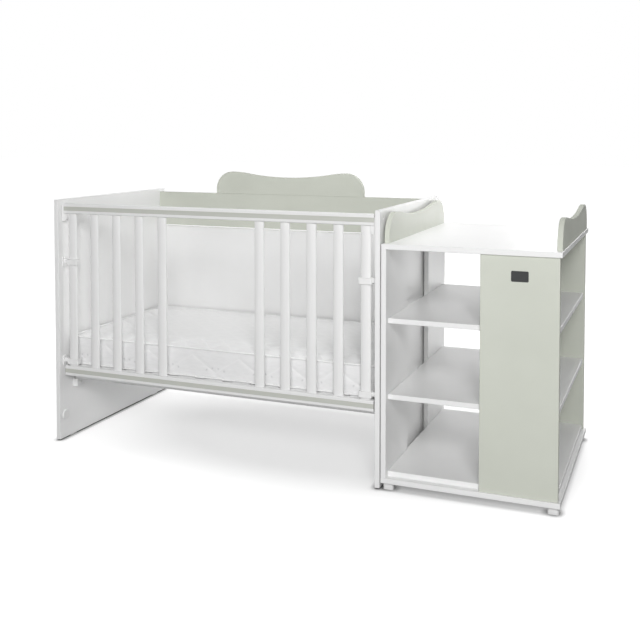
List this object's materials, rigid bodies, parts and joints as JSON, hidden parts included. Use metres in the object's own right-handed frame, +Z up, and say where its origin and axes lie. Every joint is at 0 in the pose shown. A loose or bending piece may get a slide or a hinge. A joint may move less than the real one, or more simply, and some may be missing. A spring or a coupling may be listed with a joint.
{
  "type": "convertible crib",
  "caption": "White and sage wooden crib with a slatted drop gate, a piped mattress and an open-shelf changing cabinet with wavy guards joined to its right end.",
  "frame": {"origin": "on the floor under the middle of the overall box", "axes": "+X along the length from the crib towards the cabinet, +Y from the gate to the back board, +Z up"},
  "size_m": [1.954, 0.814, 1.048],
  "materials": {
    "board_white": "satin white melamine",
    "board_sage": "satin sage melamine",
    "gate_white": "satin white paint",
    "band_sage": "satin sage paint",
    "plastic_white": "moulded white",
    "base_white": "satin white paint",
    "pad_rubber": "matt",
    "mattress_cover": "quilted white ticking"
  },
  "bodies": {
    "crib": {"back_crest": "board_sage", "base_back_rail": "base_white", "base_end_battens": "base_white", "base_front_rail": "base_white", "base_slats": "base_white", "bottom_shelf": "board_white", "cabinet_base": "board_white", "cabinet_feet": "plastic_white", "changer_top": "board_white", "connector_pads": "pad_rubber", "cover_caps": "plastic_white", "left_end_panel": "board_white", "left_front_upright": "board_white", "left_guard": "board_sage", "left_lower_guide": "plastic_white", "left_rear_upright": "board_white", "left_upper_guide": "plastic_white", "lower_back_panel": "board_white", "lower_shelf": "board_white", "mattress": "mattress_cover", "panel_glides": "plastic_white", "right_end_panel": "board_white", "right_front_upright": "board_sage", "right_guard": "board_sage", "right_lower_guide": "plastic_white", "right_rear_upright": "board_sage", "right_upper_guide": "plastic_white", "support_blocks": "base_white", "upper_back_board": "board_sage", "upper_shelf": "board_white"},
    "gate": {"gate_bottom_band": "band_sage", "gate_bottom_rail": "gate_white", "gate_slat_01": "gate_white", "gate_slat_02": "gate_white", "gate_slat_03": "gate_white", "gate_slat_04": "gate_white", "gate_slat_05": "gate_white", "gate_slat_06": "gate_white", "gate_slat_07": "gate_white", "gate_slat_08": "gate_white", "gate_slat_09": "gate_white", "gate_slat_10": "gate_white", "gate_top_band": "band_sage", "gate_top_rail": "gate_white", "left_gate_shoe": "plastic_white", "right_gate_shoe": "plastic_white"}
  },
  "joints": [
    {"name": "gate_slide", "type": "slide", "parent": "crib", "child": "gate", "axis": [0, 0, 1], "range_m": [-0.14, 0]}
  ]
}
